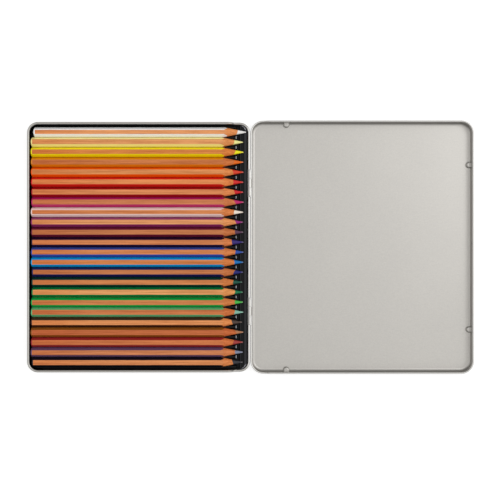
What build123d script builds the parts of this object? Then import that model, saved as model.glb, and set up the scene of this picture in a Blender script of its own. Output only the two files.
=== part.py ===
"""Flat hinged tin of twenty-four sharpened colour pencils in a formed tray, lying fully open.

X runs from the front of the base (-X) over the hinge line to the front of the lid (+X).
Y runs along the hinge line, and Z points up from the table that base and lid both lie on.
Lengths are in millimetres. A distance is measured from the hinge axis towards a half's own front.
"""

from build123d import *

import os
from dataclasses import dataclass
from math import asin, atan, cos, degrees, radians, sin, sqrt, tan

os.makedirs("parts", exist_ok=True)

# Tinplate shared by base and lid
sheet = 0.3
roll_turn = 265.0

# Base, which is as long and as wide as the row of pencils needs
base_height = 11.0
base_corner = 8.8
base_foot = 2.5
base_roll = 1.9

# Lid
lid_depth = 8.5
lid_foot = 2.8
lid_curl = 1.2
wall_gap = 0.3

# Closed box, and how the rims come down to the hinge line
closed_height = 14.0
base_back = 0.3
open_seam = 0.2
closed_seam = 0.3
base_ramp = 7.0
lid_ramp = 5.0
ramp_lead = 0.4

# Hinges
hinge_length = 21.2
hinge_spacing = 105.0
pin_radius = 0.8
pin_hold = 0.01
pin_play = 0.05
knuckle_gap = 0.3
lid_knuckle = 7.4
notch_gap = 0.4
tab_overlap = 0.55
tab_lean = 0.06

# Stops pressed into the lid, which land on the base's rim
stop_width = 5.2
stop_reach = 5.2
stop_edge = 1.4
stop_gap = 0.15
side_stop_distance = 30.0
front_stop_spacing = 135.8

# Catch: a pocket in the lid's front wall over a nib on the base's
catch_level = 5.8
catch_length = 6.8
catch_height = 2.2
catch_depth = 0.5
nib_rise = 0.2
nib_margin = 0.5

# Pencils
pencil_count = 24
pencil_gap = 0.263
pencil_flats = 7.0
pencil_edge = 0.5
pencil_length = 174.1
end_dome = 6.8
end_wall = 1.5
core_radius = 1.85
tip_radius = 0.44
cone_slope = 0.207
pencil_end_gap = 0.45
corner_clear = 0.1
row_margin = 3.9
tip_distance = 5.45
seat_gap = 0.05

# How far single pencils lie back from the row's end, and how much longer or shorter they are
set_back = {
    1: 1.3,
    2: -0.1,
    3: -0.2,
    6: 0.1,
    7: 0.25,
    8: 0.3,
    9: -0.1,
    11: 0.1,
    12: 0.2,
    14: -0.1,
    15: 0.7,
    16: 0.5,
    17: 0.5,
    20: -0.1,
    21: -0.2,
    23: -0.2,
}
longer = {
    1: 0.3,
    2: -0.1,
    3: 0.4,
    5: 0.2,
    7: -0.3,
    8: 0.1,
    10: -0.35,
    13: 0.2,
    14: 0.1,
    15: -0.8,
    16: -1.3,
    17: -0.8,
    18: -0.25,
    20: -0.8,
    21: 0.2,
    22: -0.3,
    23: -0.2,
    24: -1.15,
}

# Formed tray
tray_sheet = 0.4
tray_gap = 0.3
tray_back_gap = 1.1
tray_stand = 2.6
tray_height = 2.85
tray_low_lip = 1.15
low_lip_run = 3.0
ridge_height = 1.95
ridge_clear = 0.28
ridge_start = 3.0
ridge_round = 0.5
trough = 0.65
shelf_height = 2.15
shelf_length = 3.4
band_length = 2.1
form_slope = 60.0
form_round = 0.3

# Places that follow from the sizes
hinge_z = closed_height / 2
back_rim = hinge_z - closed_seam / 2
pencil_corners = pencil_flats / cos(radians(30)) - 2 * pencil_edge * (1 / cos(radians(30)) - 1)
pencil_pitch = pencil_corners + pencil_gap
row_end = pencil_length + tip_distance
base_reach = row_end + pencil_end_gap + base_roll
base_width = pencil_count * pencil_pitch + 2 * row_margin
lid_overhang = lid_curl - sheet
lid_front = base_reach + wall_gap + sheet
lid_back = base_back + open_seam + lid_overhang
lid_corner = base_corner + wall_gap + sheet
hinge_x = (base_reach + nib_rise - lid_front - lid_overhang) / 2
ramp_start = lid_back + lid_corner + ramp_lead

knuckle_radius = pin_radius + pin_play + sheet
base_knuckle = (hinge_length - lid_knuckle) / 2 - knuckle_gap
notch_floor = hinge_z - knuckle_radius - knuckle_gap

tray_foot = sheet + seat_gap
tray_bottom = tray_foot + tray_stand
tray_floor = tray_bottom + tray_sheet
tray_top = tray_bottom + tray_height
tray_front = base_reach - base_roll - tray_gap
tray_back = -base_back + base_roll + tray_back_gap
tray_width = base_width - 2 * (base_roll + tray_gap)
tray_corner = base_corner - base_roll - tray_gap
tray_back_corner = tray_corner - (tray_back_gap - tray_gap)

pencil_z = tray_floor + seat_gap + pencil_flats / 2

foot_centre = (Align.CENTER, Align.MIN)


@dataclass
class Pan:
    """One pressed half of the tin, with a rolled rim that is lower across the back."""

    side: int
    front: float
    back: float
    width: float
    corner: float
    foot: float
    height: float
    roll: float
    roll_shift: float
    roll_start: float
    ramp: float

    @property
    def rim_high(self):
        return self.height - self.roll

    @property
    def rim_low(self):
        return back_rim - self.roll


base_pan = Pan(
    side=-1,
    front=base_reach,
    back=-base_back,
    width=base_width,
    corner=base_corner,
    foot=base_foot,
    height=base_height,
    roll=base_roll / 2,
    roll_shift=-base_roll / 2,
    roll_start=0,
    ramp=base_ramp,
)
lid_pan = Pan(
    side=1,
    front=lid_front,
    back=lid_back,
    width=base_width + 2 * (wall_gap + sheet),
    corner=lid_corner,
    foot=lid_foot,
    height=lid_depth,
    roll=lid_curl / 2,
    roll_shift=lid_overhang - lid_curl / 2,
    roll_start=180 - roll_turn,
    ramp=lid_ramp,
)


def at(side, distance):
    """The X of a place on the base (side -1) or on the lid (side 1)."""
    return hinge_x + side * distance


def ramp_arcs(pan, place):
    """Two equal tangent arcs that take the rim from its low back up to its sides."""
    end = ramp_start + pan.ramp
    middle = place((ramp_start + end) / 2, (pan.rim_low + pan.rim_high) / 2)
    TangentArc(place(ramp_start, pan.rim_low), middle, tangent=(pan.side, 0))
    TangentArc(place(end, pan.rim_high), middle, tangent=(-pan.side, 0))


def pan_block(pan):
    """The pan's outer shape as a solid block, up to the middle of its rolled rim."""
    with BuildPart() as block:
        with BuildSketch():
            with Locations((at(pan.side, (pan.front + pan.back) / 2), 0)):
                RectangleRounded(pan.front - pan.back, pan.width, pan.corner)
        extrude(amount=pan.rim_high)
        fillet(block.faces().sort_by(Axis.Z)[0].edges(), pan.foot)
    return block.part


def rim_path(pan):
    """The rolled rim's closed centre line, from the middle of the front round both sides."""
    front = pan.front + pan.roll_shift
    back = pan.back - pan.roll_shift
    half_width = pan.width / 2 + pan.roll_shift
    corner = pan.corner + pan.roll_shift
    bulge = corner * (1 - cos(radians(45)))
    high = pan.rim_high
    low = pan.rim_low

    def point(distance, y, z):
        return (at(pan.side, distance), y, z)

    with BuildLine() as path:
        for turn in (1, -1):
            side_y = turn * half_width
            corner_y = turn * (half_width - corner)
            bulge_y = turn * (half_width - bulge)
            Line(point(front, 0, high), point(front, corner_y, high))
            ThreePointArc(
                point(front, corner_y, high),
                point(front - bulge, bulge_y, high),
                point(front - corner, side_y, high),
            )
            Line(point(front - corner, side_y, high), point(ramp_start + pan.ramp, side_y, high))
            ramp_arcs(pan, lambda distance, z: point(distance, side_y, z))
            Line(point(ramp_start, side_y, low), point(back + corner, side_y, low))
            ThreePointArc(
                point(back + corner, side_y, low),
                point(back + bulge, bulge_y, low),
                point(back, corner_y, low),
            )
        Line(point(back, half_width - corner, low), point(back, corner - half_width, low))
    return path.wires()[0]


def pressed_pan(pan, block):
    """The sheet pan: floor, walls and foot from the block, cut down at the back, with its rolled rim."""
    with BuildPart() as pressed:
        add(block)
        offset(amount=-sheet, openings=pressed.faces().sort_by(Axis.Z)[-1])
        with BuildSketch(Plane.XZ):
            with BuildLine():
                ramp_arcs(pan, lambda distance, z: (at(pan.side, distance), z))
                Polyline(
                    (at(pan.side, ramp_start + pan.ramp), pan.rim_high),
                    (at(pan.side, ramp_start + pan.ramp), pan.height),
                    (at(pan.side, -pan.corner), pan.height),
                    (at(pan.side, -pan.corner), pan.rim_low),
                    (at(pan.side, ramp_start), pan.rim_low),
                )
            make_face()
        extrude(amount=pan.width, both=True, mode=Mode.SUBTRACT)

        start = (at(pan.side, pan.front + pan.roll_shift), 0, pan.rim_high)
        with BuildSketch(Plane(start, x_dir=(pan.side, 0, 0), z_dir=(0, -pan.side, 0))) as section:
            with BuildLine():
                outer = CenterArc((0, 0), pan.roll, pan.roll_start, roll_turn)
                inner = CenterArc((0, 0), pan.roll - sheet, pan.roll_start, roll_turn)
                Line(outer @ 0, inner @ 0)
                Line(outer @ 1, inner @ 1)
            make_face()
        sweep(section.sketch, path=rim_path(pan))
    return pressed.part


def hinge_planes(*shifts):
    """Upright planes across the hinge line, at each hinge's centre moved along Y by each shift."""
    centres = (-hinge_spacing / 2, hinge_spacing / 2)
    return [Plane.XZ.offset(centre + shift) for centre in centres for shift in shifts]


def cut_hinge_notches():
    """Clears the rear rim of the part being built round both hinges."""
    with BuildSketch(*hinge_planes(0)) as notch:
        with Locations((hinge_x, notch_floor)):
            Rectangle(2 * ramp_start, hinge_z, align=(Align.CENTER, Align.MIN))
    extrude(notch.sketch, amount=hinge_length / 2 + notch_gap, both=True, mode=Mode.SUBTRACT)


def stop_outline(radius, reach):
    """A stop seen from above: from outside the wall, along the local X, to a round end."""
    with Locations(((reach - radius) / 2 - radius, 0)):
        SlotOverall(reach + 2 * radius, 2 * radius)


def tray_block(inset, low, high):
    """The space inside the tray's edge from one height to another, drawn in by the inset."""
    with BuildPart() as block:
        with BuildSketch(Plane.XY.offset(low)) as outline:
            with Locations((at(-1, (tray_front + tray_back) / 2), 0)):
                Rectangle(tray_front - tray_back, tray_width)
            fillet(outline.vertices().group_by(Axis.X)[0], tray_corner)
            fillet(outline.vertices().group_by(Axis.X)[-1], tray_back_corner)
            if inset:
                offset(amount=-inset)
        extrude(amount=high - low)
    return block.part


def raised_forms(inset):
    """The ridges between the pencils and the step past their tips, drawn in by the inset."""
    slope = radians(form_slope)
    narrower = 2 * inset / sin(slope)
    ridge_foot = pencil_pitch - 2 * ridge_clear / sin(slope)
    ridge_foot -= (pencil_flats - 2 * (tray_sheet + seat_gap)) / tan(slope)
    shelf_front = tray_back + band_length + shelf_length
    step_foot = shelf_front + (shelf_height + inset) / tan(slope)
    ridge_back = shelf_front + shelf_height / tan(slope) + trough
    ridge_front = tray_front - ridge_start
    with BuildPart() as forms:
        with BuildSketch(Plane((at(-1, tray_front), 0, tray_bottom), x_dir=(0, 1, 0), z_dir=(1, 0, 0))):
            with GridLocations(pencil_pitch, 0, pencil_count + 1, 1):
                Trapezoid(ridge_foot - narrower, ridge_height - inset, form_slope, align=foot_centre)
        extrude(amount=tray_front)
        with BuildSketch(Plane.XZ) as side_view:
            with Locations((at(-1, (ridge_front + ridge_back) / 2), tray_bottom)):
                ridge_length = ridge_front - ridge_back - narrower
                Trapezoid(ridge_length, ridge_height - inset, form_slope, align=foot_centre)
        extrude(side_view.sketch, amount=tray_width, both=True, mode=Mode.INTERSECT)
        if inset == 0:
            fillet(forms.faces().group_by(Axis.Z)[-1].edges(), ridge_round)
        with BuildSketch(Plane.XZ) as step:
            with BuildLine():
                Polyline(
                    (at(-1, tray_back), tray_bottom - inset),
                    (at(-1, tray_back), tray_bottom + tray_height),
                    (at(-1, tray_back + band_length), tray_bottom + tray_height),
                    (at(-1, tray_back + band_length), tray_bottom + shelf_height),
                    (at(-1, shelf_front), tray_bottom + shelf_height),
                    (at(-1, step_foot), tray_bottom - inset),
                    close=True,
                )
            make_face()
            if inset == 0:
                bends = step.vertices().filter_by(lambda v: at(-1, step_foot) < v.X < at(-1, tray_back))
                fillet(bends, form_round)
            else:
                offset(amount=-inset, kind=Kind.INTERSECTION)
        extrude(step.sketch, amount=tray_width, both=True)
        add(tray_block(inset, tray_bottom - inset, tray_top), mode=Mode.INTERSECT)
    return forms.part


def bow(radius, half_width):
    """How far an arc of this radius falls back from its crown at a half width from it."""
    return radius - sqrt(radius**2 - half_width**2)


def corner_set_back():
    """How far back the first and the last pencil start, so that they clear the rolled rim's corners."""
    rim_corner = base_corner - base_roll
    from_rim = row_margin + pencil_gap / 2 - base_roll
    return bow(rim_corner, rim_corner - from_rim) - bow(end_dome, pencil_corners / 2) + corner_clear


def pencil_ends(number):
    """The X of a pencil's blunt end and of its tip, and its Y: the first pencil lies at +Y."""
    back = set_back.get(number, 0)
    if number in (1, pencil_count):
        back += corner_set_back()
    blunt = at(-1, row_end - back)
    tip = blunt + pencil_length + longer.get(number, 0)
    return blunt, tip, ((pencil_count + 1) / 2 - number) * pencil_pitch


def cone_x(tip, radius):
    """Where the sharpened cone, which meets the rounded tip smoothly, is this thick."""
    taper = atan(cone_slope)
    touch_x = tip - tip_radius * (1 - sin(taper))
    return touch_x - (radius - tip_radius * cos(taper)) / cone_slope


def cross_plane(x, y):
    """A plane square to a pencil, with its origin on the pencil's centre line."""
    return Plane((x, y, pencil_z), x_dir=(0, 1, 0), z_dir=(1, 0, 0))


def pencil_barrel(number):
    """Hexagonal wood with a domed blunt end, sharpened to a cone that leaves scallops at the flats."""
    blunt, tip, y = pencil_ends(number)
    turned_radius = pencil_flats / 2 / cos(radians(30))
    dome_turn = degrees(asin(turned_radius / end_dome))
    with BuildPart() as barrel:
        with BuildSketch(Plane((0, y, pencil_z), x_dir=(1, 0, 0), z_dir=(0, -1, 0))):
            with BuildLine():
                dome = CenterArc((blunt + end_dome, 0), end_dome, 180, -dome_turn)
                Polyline(
                    dome @ 1,
                    (cone_x(tip, turned_radius), turned_radius),
                    (cone_x(tip, core_radius), core_radius),
                    (cone_x(tip, core_radius), 0),
                    dome @ 0,
                )
            make_face()
        revolve(axis=Axis((0, y, pencil_z), (1, 0, 0)))
        with BuildSketch(cross_plane(blunt, y)) as section:
            RegularPolygon(pencil_flats / 2, 6, major_radius=False)
            fillet(section.vertices(), pencil_edge)
        extrude(section.sketch, amount=tip - blunt, mode=Mode.INTERSECT)
        with BuildSketch(cross_plane(blunt + end_wall, y)) as bore:
            Circle(core_radius)
        extrude(bore.sketch, amount=tip - blunt, mode=Mode.SUBTRACT)
    return barrel.part


def pencil_core(number):
    """The colour core, which comes out of the wood as the end of the cone, with a small round tip."""
    blunt, tip, y = pencil_ends(number)
    taper = degrees(atan(cone_slope))
    with BuildPart() as core:
        with BuildSketch(Plane((0, y, pencil_z), x_dir=(1, 0, 0), z_dir=(0, -1, 0))):
            with BuildLine():
                point = CenterArc((tip - tip_radius, 0), tip_radius, 0, 90 - taper)
                Polyline(
                    point @ 1,
                    (cone_x(tip, core_radius), core_radius),
                    (blunt + end_wall, core_radius),
                    (blunt + end_wall, 0),
                    point @ 0,
                )
            make_face()
        revolve(axis=Axis((0, y, pencil_z), (1, 0, 0)))
    return core.part


base_block = pan_block(base_pan)
base_pressing = pressed_pan(base_pan, base_block)
lid_block = pan_block(lid_pan)
lid_pressing = pressed_pan(lid_pan, lid_block)
parts = {}


# Base: pan, two pairs of hinge knuckles standing on the rear wall, and the catch's nib
with BuildPart() as base_shell:
    add(base_pressing)
    cut_hinge_notches()
    knuckle_shift = (lid_knuckle + base_knuckle) / 2 + knuckle_gap
    with BuildSketch(*hinge_planes(-knuckle_shift, knuckle_shift)):
        with Locations((hinge_x, hinge_z)):
            Circle(knuckle_radius)
        with Locations((hinge_x, notch_floor - tab_overlap)):
            Rectangle(sheet, 2 * tab_overlap, align=Align.MIN)
        with Locations((hinge_x, hinge_z)):
            Circle(pin_radius + pin_hold, mode=Mode.SUBTRACT)
    extrude(amount=base_knuckle / 2, both=True)
    nib_z = closed_height - catch_level
    with BuildSketch(Plane((at(-1, base_reach), 0, nib_z), x_dir=(0, -1, 0), z_dir=(-1, 0, 0))):
        RectangleRounded(catch_length - 2 * nib_margin, catch_height - 2 * nib_margin, nib_margin)
    extrude(amount=nib_rise)
parts["base_shell"] = base_shell.part


# Stops: round-ended buttons in the lid's corner of wall and top, and the dents behind them
stop_y = front_stop_spacing / 2
stop_x = at(1, side_stop_distance)
side_y = lid_pan.width / 2
stop_places = [
    Location((at(1, lid_front), stop_y, 0), (0, 0, 180)),
    Location((at(1, lid_front), -stop_y, 0), (0, 0, 180)),
    Location((stop_x, side_y, 0), (0, 0, -90)),
    Location((stop_x, -side_y, 0), (0, 0, 90)),
]
stop_height = closed_height - base_height - stop_gap
with BuildPart() as stop_buttons:
    with BuildSketch():
        with Locations(*stop_places):
            stop_outline(stop_width / 2, sheet + stop_reach)
    extrude(amount=stop_height)
    fillet(stop_buttons.faces().group_by(Axis.Z)[-1].edges(), stop_edge)
    add(lid_block, mode=Mode.INTERSECT)
with BuildPart() as stop_dents:
    with BuildSketch():
        with Locations(*stop_places):
            stop_outline(stop_width / 2 - sheet, stop_reach)
    extrude(amount=stop_height - sheet)
    fillet(stop_dents.faces().group_by(Axis.Z)[-1].edges(), stop_edge - sheet)


# Lid: pan, one knuckle to each hinge on a tab that leans in from the rear wall, stops and catch
with BuildPart() as lid_shell:
    add(lid_pressing)
    cut_hinge_notches()
    with BuildSketch(*hinge_planes(0)):
        with Locations((hinge_x, hinge_z)):
            Circle(knuckle_radius)
        with BuildLine():
            Polyline(
                (at(1, lid_back), notch_floor - tab_overlap),
                (at(1, lid_back + sheet), notch_floor - tab_overlap),
                (at(1, lid_back + sheet), notch_floor),
                (at(1, knuckle_radius - tab_lean), hinge_z + tab_lean),
                (at(1, pin_radius + pin_play + tab_lean), hinge_z),
                (at(1, lid_back), notch_floor - tab_lean),
                close=True,
            )
        make_face()
        with Locations((hinge_x, hinge_z)):
            Circle(pin_radius + pin_play, mode=Mode.SUBTRACT)
    extrude(amount=lid_knuckle / 2, both=True)
    add(stop_buttons.part)
    add(stop_dents.part, mode=Mode.SUBTRACT)
    inner_face = Plane((at(1, lid_front - sheet), 0, catch_level), x_dir=(0, 1, 0), z_dir=(1, 0, 0))
    with BuildSketch(inner_face):
        SlotOverall(catch_length + 2 * sheet, catch_height + 2 * sheet)
    extrude(amount=catch_depth + sheet)
    with BuildSketch(inner_face):
        SlotOverall(catch_length, catch_height)
    extrude(amount=catch_depth, mode=Mode.SUBTRACT)
parts["lid_shell"] = lid_shell.part


# Hinge pins: left and right as seen from the front of the closed box
for name, pin_y in (("left_hinge_pin", hinge_spacing / 2), ("right_hinge_pin", -hinge_spacing / 2)):
    with BuildPart() as hinge_pin:
        with BuildSketch(Plane.XZ.offset(-pin_y)):
            with Locations((hinge_x, hinge_z)):
                Circle(pin_radius)
        extrude(amount=hinge_length / 2, both=True)
        chamfer(hinge_pin.edges().filter_by(GeomType.CIRCLE), sheet / 2)
    parts[name] = hinge_pin.part


# Tray: floor and lip over a skirt, a lower lip at the blunt ends, ridges and end step, all hollow underneath
with BuildPart() as insert_tray:
    add(tray_block(0, tray_foot, tray_top))
    add(tray_block(tray_sheet, tray_floor, tray_top), mode=Mode.SUBTRACT)
    add(tray_block(tray_sheet, tray_foot, tray_bottom), mode=Mode.SUBTRACT)
    low_lip_back = tray_front - tray_corner
    with BuildSketch(Plane.XZ):
        with BuildLine():
            Polyline(
                (at(-1, base_reach), tray_bottom + tray_low_lip),
                (at(-1, low_lip_back), tray_bottom + tray_low_lip),
                (at(-1, low_lip_back - low_lip_run), tray_bottom + tray_height),
                (at(-1, base_reach), tray_bottom + tray_height),
                close=True,
            )
        make_face()
    extrude(amount=tray_width, both=True, mode=Mode.SUBTRACT)
    add(raised_forms(0))
    add(raised_forms(tray_sheet), mode=Mode.SUBTRACT)
parts["insert_tray"] = insert_tray.part


# Pencils
for number in range(1, pencil_count + 1):
    parts[f"pencil_{number:02}_barrel"] = pencil_barrel(number)
    parts[f"pencil_{number:02}_core"] = pencil_core(number)


for name, part in parts.items():
    part.label = name
    export_step(part, f"parts/{name}.step")
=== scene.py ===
"""Looks for the open pencil tin: bare tinplate, a glossy black tray and twenty-four cedar pencils.

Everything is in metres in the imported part's frame. Inside the material graphs lengths are millimetres.
"""

import math

import bpy
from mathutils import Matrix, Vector


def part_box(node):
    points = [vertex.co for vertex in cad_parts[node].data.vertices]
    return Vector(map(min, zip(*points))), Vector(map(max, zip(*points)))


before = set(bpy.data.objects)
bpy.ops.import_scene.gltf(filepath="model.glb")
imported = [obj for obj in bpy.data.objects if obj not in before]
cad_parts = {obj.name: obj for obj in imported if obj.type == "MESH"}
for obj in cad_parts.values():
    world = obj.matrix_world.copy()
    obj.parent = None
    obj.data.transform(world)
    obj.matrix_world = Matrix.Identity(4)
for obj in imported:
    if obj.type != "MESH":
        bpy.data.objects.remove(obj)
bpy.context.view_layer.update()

# Name, paint, colour core, cedar, width of the bare flat and how far the core shows, in millimetres
PENCILS = [
    ("white", "fdfdff", "f7f5f3", "dd945e", 3.4, 7.5),
    ("cream_yellow", "feee9b", "f9f59e", "da9660", 4.2, 8.1),
    ("yellow", "f7e505", "f9ef09", "d4823e", 3.8, 7.5),
    ("orange", "e18610", "e86a05", "c87640", 4.0, 7.6),
    ("vermilion", "f45d05", "da3b1b", "da8e54", 4.1, 8.9),
    ("red", "dc2219", "d62320", "df8a50", 4.0, 8.6),
    ("carmine", "a61119", "d21421", "da8a56", 4.2, 7.2),
    ("magenta", "c01e67", "c6206b", "ca7c50", 4.1, 7.1),
    ("rose", "f7dcd6", "f9ecdd", "d2824c", 3.3, 7.4),
    ("violet", "902d65", "971f7d", "de9a66", 3.9, 6.0),
    ("aubergine", "6e1a34", "5b3754", "be7446", 4.0, 6.9),
    ("indigo", "210b2f", "312073", "d08150", 4.0, 9.4),
    ("ultramarine", "384ea9", "2a4ea8", "d08250", 3.9, 6.9),
    ("sky_blue", "059fe0", "0371be", "ce7e46", 3.9, 7.9),
    ("navy", "1e1c56", "191c72", "be7446", 3.8, 7.1),
    ("pine_green", "053c33", "035140", "cc804a", 3.9, 7.1),
    ("emerald", "058042", "037749", "de9e64", 4.3, 7.3),
    ("leaf_green", "05a648", "45b946", "cc824c", 4.0, 6.0),
    ("sage_green", "65b97d", "86bda9", "c67442", 4.2, 7.8),
    ("umber", "402016", "4b3830", "db9058", 4.1, 8.5),
    ("sienna", "97571c", "b37951", "c06838", 4.4, 6.3),
    ("brick", "9d262a", "a23632", "ca7442", 4.1, 8.1),
    ("slate_grey", "65486a", "8189a1", "c97e52", 4.0, 5.8),
    ("black", "0a0c19", "2a2a32", "d48955", 4.1, 8.5),
]

# The photographed sheet and camera: the lens looks straight down from this height, in metres
CAMERA_HEIGHT = 0.8
PHOTO_PIXELS = 500
PIXELS_PER_METRE_ON_TABLE = 1209.6
OBJECT_CENTRE_PIXEL = (250.7, 247.2)

# In millimetres: up to where the base is painted dark inside as painted shade, where both halves get painted
# light along the hinge line, and the line across each rear corner of the tray
INSIDE_SHADE_DEPTH = 4.8
HINGE_MIDDLE = -0.2
HINGE_REACH = 2.2
TRAY_CORNER_ARC = -91.7

# Where the tray gets painted highlights, in millimetres in from its rear edge, and how far in from its sides
RIDGE_ENDS = 8.5
STEP_EDGE = 5.3
REAR_BAND = 2.0
SIDE_LIP = 3.5

# Height of each surface's fine relief, in metres
TIN_RELIEF = 0.000002
TRAY_RELIEF = 0.00002
PENCIL_RELIEF = 0.00003

# How much painted light the lid's rim gets, as a share of the hinge line
RIM_PAINTED_LIGHT = 0.85

# Light, as radiance: a broad glow round one direction, low light from both ends of the open tin, and what
# is left of it beyond the far long side
SKY_LOW = 0.2
KEY = 1.12
KEY_TOWARDS = (0.34, 0.18, 0.92)
KEY_REACH = 0.3
KEY_FALLOFF = 1.5
LOW_LEFT = 0.75
LOW_RIGHT = 0.45
FAR_SIDE = 0.6
SKY_TINT = (1.0, 0.99, 0.97, 1.0)
LAMP_RADIANCE = 2.0
LAMP_SIZE = 0.6
LAMP_PLACE = (0.75, 0.3, 1.2)

# The white table's own light: what falls on the tin from below, and what the camera sees of it
FLOOR_GLOW = 0.3
FLOOR_SEEN = 0.72

# Sharpened cone of the solids, and the dipped cap at the blunt end, in millimetres
CONE_SLOPE = 0.207
TIP_RADIUS = 0.44
FLAT_DISTANCE = 3.5
DIP_LENGTH = 1.85


def linear(code):
    """A hex colour as the linear colour that a shader takes."""
    channels = [int(code[i : i + 2], 16) / 255 for i in (0, 2, 4)]
    curved = [c / 12.92 if c <= 0.04045 else ((c + 0.055) / 1.055) ** 2.4 for c in channels]
    return (*curved, 1.0)


class Graph:
    """Adds nodes to a node tree. A value may be a number, a vector, a colour or a socket."""

    def __init__(self, tree):
        self.tree = tree

    def add(self, kind, **settings):
        node = self.tree.nodes.new(kind)
        for key, value in settings.items():
            setattr(node, key, value)
        return node

    def put(self, socket, value):
        if isinstance(value, bpy.types.NodeSocket):
            self.tree.links.new(value, socket)
        else:
            socket.default_value = value

    def math(self, operation, *values, clamp=False):
        node = self.add("ShaderNodeMath", operation=operation, use_clamp=clamp)
        for socket, value in zip(node.inputs, values):
            self.put(socket, value)
        return node.outputs[0]

    def total(self, *values):
        result = values[0]
        for value in values[1:]:
            result = self.math("ADD", result, value)
        return result

    def times(self, *values):
        result = values[0]
        for value in values[1:]:
            result = self.math("MULTIPLY", result, value)
        return result

    def step(self, value, low, high):
        """0 below low, 1 above high, smooth between."""
        node = self.add("ShaderNodeMapRange", interpolation_type="SMOOTHSTEP")
        for socket, number in zip(node.inputs, (value, low, high, 0.0, 1.0)):
            self.put(socket, number)
        return node.outputs[0]

    def fit(self, value, low, high):
        """A 0 to 1 value stretched to low to high."""
        node = self.add("ShaderNodeMapRange")
        for socket, number in zip(node.inputs, (value, 0.0, 1.0, low, high)):
            self.put(socket, number)
        return node.outputs[0]

    def mix(self, factor, a, b, blend="MIX"):
        node = self.add("ShaderNodeMix", data_type="RGBA", blend_type=blend)
        self.put(node.inputs[0], factor)
        self.put(node.inputs[6], a)
        self.put(node.inputs[7], b)
        return node.outputs[2]

    def between(self, factor, a, b):
        """A number that runs from a to b as the factor runs from 0 to 1."""
        node = self.add("ShaderNodeMix", data_type="FLOAT")
        for socket, value in zip((node.inputs[0], node.inputs[2], node.inputs[3]), (factor, a, b)):
            self.put(socket, value)
        return node.outputs[0]

    def vector(self, x, y, z):
        node = self.add("ShaderNodeCombineXYZ")
        for socket, value in zip(node.inputs, (x, y, z)):
            self.put(socket, value)
        return node.outputs[0]

    def noise(self, vector, scale=1.0, detail=3.0, rough=0.5):
        node = self.add("ShaderNodeTexNoise")
        self.put(node.inputs["Vector"], vector)
        self.put(node.inputs["Scale"], scale)
        self.put(node.inputs["Detail"], detail)
        self.put(node.inputs["Roughness"], rough)
        return node.outputs[0]

    def bump(self, height, distance, strength=1.0):
        """A bump whose height of 1 stands for this distance in metres."""
        node = self.add("ShaderNodeBump")
        self.put(node.inputs["Strength"], strength)
        self.put(node.inputs["Distance"], distance)
        self.put(node.inputs["Height"], height)
        return node.outputs[0]

    def position(self):
        """X, Y and Z on the piece at rest, in millimetres."""
        coordinates = self.add("ShaderNodeTexCoord").outputs["Object"]
        split = self.add("ShaderNodeSeparateXYZ")
        self.put(split.inputs[0], coordinates)
        return [self.math("MULTIPLY", axis, 1000.0) for axis in split.outputs]


def new_material(name):
    material = bpy.data.materials.new(name)
    material.use_nodes = True
    return material, Graph(material.node_tree), material.node_tree.nodes["Principled BSDF"]


def dress(node, material):
    """Gives a CAD node one material all over."""
    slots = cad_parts[node].data.materials
    slots.clear()
    slots.append(material)


def tinplate(name, is_base):
    """Bare satin tinplate, finely mottled, with painted light along the hinge line and less of it on the
    lid's rim.

    Inside the base, under the tray, it is painted near black as painted shade.
    """
    material, graph, shader = new_material(name)
    x, y, z = graph.position()
    mottle = graph.noise(graph.vector(x, y, z), scale=0.9, detail=3.0, rough=0.7)
    lines = graph.vector(graph.times(x, 0.15), graph.times(y, 7.0), graph.times(z, 7.0))
    rolled = graph.noise(lines, detail=3.0)
    broad = graph.noise(graph.vector(x, y, z), scale=0.02, detail=2.0)
    tone = graph.total(graph.times(mottle, 0.5), graph.times(rolled, 0.4), graph.times(broad, 0.1))
    metal = graph.mix(graph.step(tone, 0.3, 0.7), linear("adaba8"), linear("bab8b4"))
    # Painted light: the hinge line and the lid's rim are coloured paler, standing in for light that falls
    # there.
    from_hinge = graph.math("ABSOLUTE", graph.math("SUBTRACT", x, HINGE_MIDDLE))
    painted_hinge_light = graph.step(from_hinge, HINGE_REACH + 0.3, HINGE_REACH - 0.3)
    if not is_base:
        on_rim = graph.times(graph.step(z, 3.0, 6.0), RIM_PAINTED_LIGHT)
        painted_hinge_light = graph.math("MAXIMUM", painted_hinge_light, on_rim)
    metal = graph.mix(painted_hinge_light, metal, linear("d4d3d1"))
    if is_base:
        # Painted shade: below the rim the base's inside is coloured near black, standing in for shadow.
        metal = graph.mix(painted_shade_inside_base(graph), metal, linear("1a1b1d"))
    shader.inputs["Metallic"].default_value = 1.0
    graph.put(shader.inputs["Base Color"], metal)
    dullness = graph.math("MULTIPLY_ADD", rolled, 0.5, mottle)
    graph.put(shader.inputs["Roughness"], graph.fit(dullness, 0.3, 0.44))
    graph.put(shader.inputs["Normal"], graph.bump(graph.total(rolled, mottle), TIN_RELIEF))
    return material


def painted_shade_inside_base(graph):
    """1 on the faces of the base that look up or inwards below its rolled rim, where the painted shade goes.
    """
    low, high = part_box("base_shell")
    middle_x = (low.x + high.x) * 500
    coordinates = graph.add("ShaderNodeTexCoord")
    facing = graph.add("ShaderNodeSeparateXYZ")
    graph.put(facing.inputs[0], coordinates.outputs["Normal"])
    x, y, z = graph.position()
    outwards = graph.total(
        graph.times(facing.outputs[0], graph.math("SUBTRACT", x, middle_x)),
        graph.times(facing.outputs[1], y),
    )
    inwards = graph.math("MAXIMUM", graph.step(facing.outputs[2], 0.3, 0.6), graph.step(outwards, 0.0, -1.0))
    below_rim = graph.step(z, INSIDE_SHADE_DEPTH, INSIDE_SHADE_DEPTH - 0.6)
    above_foot = graph.step(z, 0.15, 0.25)
    return graph.times(inwards, below_rim, above_foot)


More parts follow.
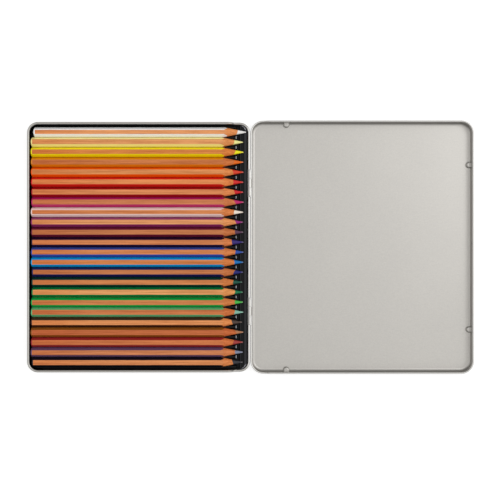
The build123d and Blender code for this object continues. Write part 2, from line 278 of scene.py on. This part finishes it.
def steel_wire():
    """Drawn steel wire of the hinge pins."""
    material, graph, shader = new_material("steel_wire")
    x, y, z = graph.position()
    drawn = graph.noise(graph.vector(graph.times(x, 8.0), graph.times(y, 0.5), graph.times(z, 8.0)))
    shader.inputs["Metallic"].default_value = 1.0
    graph.put(shader.inputs["Base Color"], graph.mix(drawn, linear("8c8a88"), linear("c4c2c0")))
    graph.put(shader.inputs["Roughness"], graph.fit(drawn, 0.25, 0.45))
    return material


def strip(graph, x, middle, half_width):
    """1 on a soft-edged strip across the tray."""
    off = graph.math("ABSOLUTE", graph.math("SUBTRACT", x, middle))
    return graph.step(off, half_width + 0.15, half_width - 0.15)


def formed_plastic():
    """Thin blue-black plastic with a faint pebble, with painted highlights where its forms turn over at the
    tips.
    """
    material, graph, shader = new_material("formed_black_plastic")
    x, y, z = graph.position()
    place = graph.vector(x, y, z)
    pebble = graph.noise(place, scale=1.6, detail=3.0)
    dust = graph.noise(place, scale=0.25, detail=5.0)
    low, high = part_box("insert_tray")
    back, lip = high.x * 1000, high.z * 1000
    corner = graph.total(graph.math("ABSOLUTE", y), x, TRAY_CORNER_ARC)
    side = high.y * 1000 - SIDE_LIP
    between_sides = graph.step(graph.math("ABSOLUTE", y), side + 0.5, side - 0.5)
    on_ridges = graph.step(z, lip - 1.5, lip - 1.3)
    on_step = graph.step(z, lip - 1.2, lip - 1.0)
    on_lip = graph.step(z, lip - 0.2, lip - 0.1)
    at_rear = graph.step(x, back - REAR_BAND - 0.1, back - REAR_BAND + 0.1)
    ridge_ends = graph.times(strip(graph, x, back - RIDGE_ENDS, 0.4), on_ridges, between_sides, 0.9)
    step_edge = graph.times(strip(graph, x, back - STEP_EDGE, 0.3), on_step, 0.04)
    band = graph.times(at_rear, on_lip, 0.05)
    corner_lips = graph.times(graph.step(corner, 0.0, 0.8), on_lip, 0.6)
    # Painted highlights: ridge ends, step edge, rear band and rear corner lips are coloured pale grey.
    painted_highlights = graph.total(ridge_ends, step_edge, band, corner_lips)
    black = graph.mix(dust, linear("040507"), linear("0b0d11"))
    graph.put(shader.inputs["Base Color"], graph.mix(painted_highlights, black, linear("b4b4bc")))
    graph.put(shader.inputs["Roughness"], graph.fit(graph.total(dust, graph.times(painted_highlights, 0.5)), 0.26, 0.5))
    shader.inputs["Specular IOR Level"].default_value = 0.14
    graph.put(shader.inputs["Normal"], graph.bump(pebble, TRAY_RELIEF))
    return material


def cedar_grain(graph, x, y, z):
    """Tone from 0 to 1 of long wavering fibres and growth rings, and how deep a pore lies there."""
    waver = graph.noise(graph.vector(graph.times(x, 0.02), graph.times(y, 0.3), z), detail=1.0)
    y = graph.math("MULTIPLY_ADD", waver, 1.2, y)
    years = graph.vector(graph.times(x, 0.015), graph.times(y, 0.9), graph.times(z, 0.9))
    rings = graph.noise(years, detail=2.0)
    long_fibres = graph.vector(graph.times(x, 0.06), graph.times(y, 3.4), graph.times(z, 3.4))
    fibres = graph.noise(long_fibres, detail=5.0, rough=0.6)
    tone = graph.step(graph.total(graph.times(rings, 0.4), graph.times(fibres, 0.6)), 0.36, 0.64)
    short_pores = graph.vector(graph.times(x, 0.5), graph.times(y, 7.0), graph.times(z, 7.0))
    pores = graph.step(graph.noise(short_pores, detail=2.0), 0.58, 0.7)
    return tone, pores


def pencil_group(pitch, axis_z):
    """Colour, roughness and height of a pencil, from where on it the point lies.

    Every other flat is bare cedar, the flats between are painted, the blunt end is dipped in the same
    paint, and the sharpened cone is bare up to the slanting, slightly ragged edge of the colour core.
    """
    tree = bpy.data.node_groups.new("pencil_surface", "ShaderNodeTree")
    for name in ("Paint", "Core", "Cedar"):
        tree.interface.new_socket(name, in_out="INPUT", socket_type="NodeSocketColor")
    for name in ("Bare edge", "Core length", "Blunt end", "Tip", "Number"):
        tree.interface.new_socket(name, in_out="INPUT", socket_type="NodeSocketFloat")
    tree.interface.new_socket("Color", in_out="OUTPUT", socket_type="NodeSocketColor")
    for name in ("Roughness", "Height"):
        tree.interface.new_socket(name, in_out="OUTPUT", socket_type="NodeSocketFloat")
    graph = Graph(tree)
    given = graph.add("NodeGroupInput").outputs
    x, y, z = graph.position()

    # Place on this pencil: across, up, round and out from its centre line, and from both ends
    across = graph.math("FRACT", graph.math("DIVIDE", y, pitch))
    across = graph.math("MULTIPLY", graph.math("SUBTRACT", across, 0.5), pitch)
    up = graph.math("SUBTRACT", z, axis_z)
    angle = graph.math("ARCTAN2", up, across)
    radius = graph.math("SQRT", graph.total(graph.times(across, across), graph.times(up, up)))
    from_tip = graph.math("SUBTRACT", given["Tip"], x)
    from_blunt = graph.math("SUBTRACT", x, given["Blunt end"])

    # Three random numbers of this pencil
    white = graph.add("ShaderNodeTexWhiteNoise", noise_dimensions="1D")
    graph.put(white.inputs["W"], given["Number"])
    chance = graph.add("ShaderNodeSeparateColor")
    graph.put(chance.inputs[0], white.outputs["Color"])
    first, second, third = chance.outputs

    # Cedar, fresher and redder on the sharpened cone and deeper in colour towards the blunt end
    tone, pores = cedar_grain(graph, x, y, z)
    grain = graph.mix(tone, (0.74, 0.64, 0.56, 1.0), (1.14, 1.18, 1.22, 1.0))
    grain = graph.mix(graph.times(pores, 0.5), grain, (0.5, 0.38, 0.3, 1.0))
    cedar = graph.mix(1.0, given["Cedar"], grain, "MULTIPLY")
    taper = math.atan(CONE_SLOPE)
    radius_at_tip = TIP_RADIUS * (math.cos(taper) - CONE_SLOPE * (1 - math.sin(taper)))
    cone_radius = graph.math("MULTIPLY_ADD", from_tip, CONE_SLOPE, radius_at_tip)
    on_cone = graph.step(graph.math("SUBTRACT", cone_radius, radius), 0.1, 0.05)
    shavings = graph.noise(graph.vector(graph.times(x, 3.0), y, z), scale=1.4, detail=3.0)
    fresh = graph.mix(shavings, (0.9, 0.76, 0.6, 1.0), (1.16, 1.12, 1.0, 1.0))
    cedar = graph.mix(on_cone, cedar, graph.mix(1.0, cedar, fresh, "MULTIPLY"))

    aged = graph.mix(graph.step(from_blunt, 55.0, 8.0), (1.02, 1.0, 0.93, 1.0), (0.96, 0.8, 0.62, 1.0))
    cedar = graph.mix(1.0, cedar, aged, "MULTIPLY")

    # Paint on every other flat, wavering a little along each corner, and the dipped cap
    turned = graph.total(angle, graph.fit(first, -0.05, 0.05), -math.pi / 2)
    bare = graph.math("COSINE", graph.times(turned, 3.0))
    waver = graph.noise(graph.vector(graph.times(x, 0.3), graph.times(y, 0.8), z), detail=3.0)
    bare = graph.math("SUBTRACT", graph.total(bare, graph.fit(waver, -0.06, 0.06)), given["Bare edge"])
    painted = graph.times(graph.step(bare, 0.04, -0.04), graph.math("SUBTRACT", 1.0, on_cone))
    cap_end = graph.math("SUBTRACT", from_blunt, graph.fit(waver, -0.15, 0.15))
    dipped = graph.step(cap_end, DIP_LENGTH + 0.05, DIP_LENGTH - 0.05)
    painted = graph.math("MAXIMUM", painted, dipped)
    cloudy = graph.noise(graph.vector(graph.times(x, 0.1), y, z), detail=3.0)
    deeper = graph.mix(1.0, given["Paint"], linear("b8b8b8"), "MULTIPLY")
    paint = graph.mix(graph.times(cloudy, 0.3), given["Paint"], deeper)

    # Colour core, whose edge slants differently on each pencil, with a painted highlight paling its point
    lean = graph.math("SINE", graph.total(angle, graph.times(second, 2 * math.pi)))
    slant = graph.times(lean, graph.fit(third, 0.2, 1.1))
    nicks = graph.noise(graph.vector(graph.times(x, 1.2), graph.times(y, 2.4), graph.times(z, 2.4)))
    core_end = graph.total(given["Core length"], slant, graph.fit(nicks, -0.5, 0.5))
    is_core = graph.step(graph.math("SUBTRACT", core_end, from_tip), -0.08, 0.08)
    shaved = graph.noise(graph.vector(graph.times(x, 6.0), y, z), detail=3.0)
    darker = graph.mix(1.0, given["Core"], linear("a8a8a8"), "MULTIPLY")
    core = graph.mix(graph.times(shaved, 0.35), given["Core"], darker)
    # Painted highlight: the last few millimetres of the point are paled towards pink-white.
    core = graph.mix(graph.times(graph.step(from_tip, 2.4, 0.3), 0.12), core, (0.9, 0.82, 0.84, 1.0))

    surface = graph.mix(is_core, graph.mix(painted, cedar, paint), core)
    rough = graph.between(painted, graph.fit(tone, 0.72, 0.56), graph.fit(waver, 0.16, 0.3))
    rough = graph.between(is_core, rough, graph.fit(shaved, 0.36, 0.5))
    wood = graph.total(graph.times(tone, 0.5), graph.times(pores, -0.6), graph.times(on_cone, shavings))
    height = graph.between(is_core, graph.between(painted, wood, 1.4), graph.times(shaved, 1.2))
    result = graph.add("NodeGroupOutput").inputs
    graph.put(result["Color"], surface)
    graph.put(result["Roughness"], rough)
    graph.put(result["Height"], height)
    return tree


def pencil_material(name, group, number, look, ends):
    """One pencil's surface, made from the shared group."""
    material, graph, shader = new_material(name)
    paint, core, cedar, bare_width, core_length = look
    surface = graph.add("ShaderNodeGroup", node_tree=group)
    surface.inputs["Paint"].default_value = linear(paint)
    surface.inputs["Core"].default_value = linear(core)
    surface.inputs["Cedar"].default_value = linear(cedar)
    surface.inputs["Bare edge"].default_value = math.cos(3 * math.atan(bare_width / 2 / FLAT_DISTANCE))
    surface.inputs["Core length"].default_value = core_length
    surface.inputs["Blunt end"].default_value = ends[0]
    surface.inputs["Tip"].default_value = ends[1]
    surface.inputs["Number"].default_value = number
    graph.put(shader.inputs["Base Color"], surface.outputs["Color"])
    graph.put(shader.inputs["Roughness"], surface.outputs["Roughness"])
    graph.put(shader.inputs["Normal"], graph.bump(surface.outputs["Height"], PENCIL_RELIEF))
    shader.inputs["Specular IOR Level"].default_value = 0.35
    return material


def centre(node):
    low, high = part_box(node)
    return (low + high) / 2


def dress_pencils():
    first, last = centre("pencil_01_core"), centre(f"pencil_{len(PENCILS):02}_core")
    pitch = (first.y - last.y) / (len(PENCILS) - 1) * 1000
    group = pencil_group(pitch, first.z * 1000)
    for number, (name, *look) in enumerate(PENCILS, start=1):
        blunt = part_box(f"pencil_{number:02}_barrel")[0].x * 1000
        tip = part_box(f"pencil_{number:02}_core")[1].x * 1000
        for part in ("barrel", "core"):
            material = pencil_material(f"{part}_{name}", group, number, look, (blunt, tip))
            dress(f"pencil_{number:02}_{part}", material)


def make_floor():
    """A plain white table that keeps a faint shadow of the tin."""
    bpy.ops.mesh.primitive_plane_add(size=6)
    floor = bpy.context.object
    floor.name = "table"
    material, graph, shader = new_material("white_table")
    shader.inputs["Base Color"].default_value = (0.4, 0.4, 0.4, 1.0)
    shader.inputs["Roughness"].default_value = 1.0
    shader.inputs["Specular IOR Level"].default_value = 0.0
    shader.inputs["Emission Color"].default_value = (1.0, 1.0, 1.0, 1.0)
    rays = graph.add("ShaderNodeLightPath").outputs
    seen = graph.math("MAXIMUM", rays["Is Camera Ray"], rays["Is Transmission Ray"])
    graph.put(shader.inputs["Emission Strength"], graph.fit(seen, FLOOR_GLOW, FLOOR_SEEN))
    floor.data.materials.append(material)


def make_sky():
    """Brightest overhead towards the upper right, dim beyond both long sides, with low light at both ends.

    The camera itself sees plain white.
    """
    world = bpy.data.worlds.new("studio")
    bpy.context.scene.world = world
    world.use_nodes = True
    graph = Graph(world.node_tree)
    direction = graph.add("ShaderNodeTexCoord").outputs["Generated"]
    split = graph.add("ShaderNodeSeparateXYZ")
    graph.put(split.inputs[0], direction)
    nearness = graph.add("ShaderNodeVectorMath", operation="DOT_PRODUCT")
    graph.put(nearness.inputs[0], direction)
    nearness.inputs[1].default_value = Vector(KEY_TOWARDS).normalized()
    glow = graph.math("DIVIDE", graph.math("ADD", nearness.outputs["Value"], KEY_REACH), 1 + KEY_REACH)
    glow = graph.math("POWER", graph.math("MAXIMUM", glow, 0.0), KEY_FALLOFF)
    left = graph.times(graph.step(split.outputs[0], -0.6, -0.95), LOW_LEFT)
    right = graph.times(graph.step(split.outputs[0], 0.6, 0.95), LOW_RIGHT)
    light = graph.total(SKY_LOW, graph.times(glow, KEY), left, right)
    light = graph.times(light, graph.fit(graph.step(split.outputs[1], 0.4, 0.85), 1.0, FAR_SIDE))
    tinted = graph.mix(1.0, graph.vector(light, light, light), SKY_TINT, "MULTIPLY")
    seen = graph.add("ShaderNodeLightPath").outputs["Is Camera Ray"]
    backdrop = graph.mix(seen, tinted, (1.0, 1.0, 1.0, 1.0))
    graph.put(world.node_tree.nodes["Background"].inputs["Color"], backdrop)


def make_lamp():
    """One broad soft lamp up on the right."""
    lamp = bpy.data.lights.new("softbox", "AREA")
    lamp.shape = "DISK"
    lamp.size = LAMP_SIZE
    lamp.energy = LAMP_RADIANCE * math.pi * math.pi * LAMP_SIZE**2 / 4
    holder = bpy.data.objects.new("softbox", lamp)
    bpy.context.scene.collection.objects.link(holder)
    holder.location = LAMP_PLACE
    holder.rotation_euler = holder.location.to_track_quat("Z", "Y").to_euler()


def make_camera():
    """Straight down, with the tin where the photograph has it."""
    camera = bpy.data.cameras.new("camera")
    camera.sensor_width = 36.0
    camera.lens = camera.sensor_width * PIXELS_PER_METRE_ON_TABLE * CAMERA_HEIGHT / PHOTO_PIXELS
    camera.clip_start = 0.01
    holder = bpy.data.objects.new("camera", camera)
    bpy.context.scene.collection.objects.link(holder)
    middle = PHOTO_PIXELS / 2
    x = (middle - OBJECT_CENTRE_PIXEL[0]) / PIXELS_PER_METRE_ON_TABLE
    y = (OBJECT_CENTRE_PIXEL[1] - middle) / PIXELS_PER_METRE_ON_TABLE
    holder.location = (x, y, CAMERA_HEIGHT)
    bpy.context.scene.camera = holder


wire = steel_wire()
dress("base_shell", tinplate("base_tinplate", is_base=True))
dress("lid_shell", tinplate("lid_tinplate", is_base=False))
dress("left_hinge_pin", wire)
dress("right_hinge_pin", wire)
dress("insert_tray", formed_plastic())
dress_pencils()
make_floor()
make_sky()
make_lamp()
make_camera()
bpy.context.scene.view_settings.view_transform = "Standard"
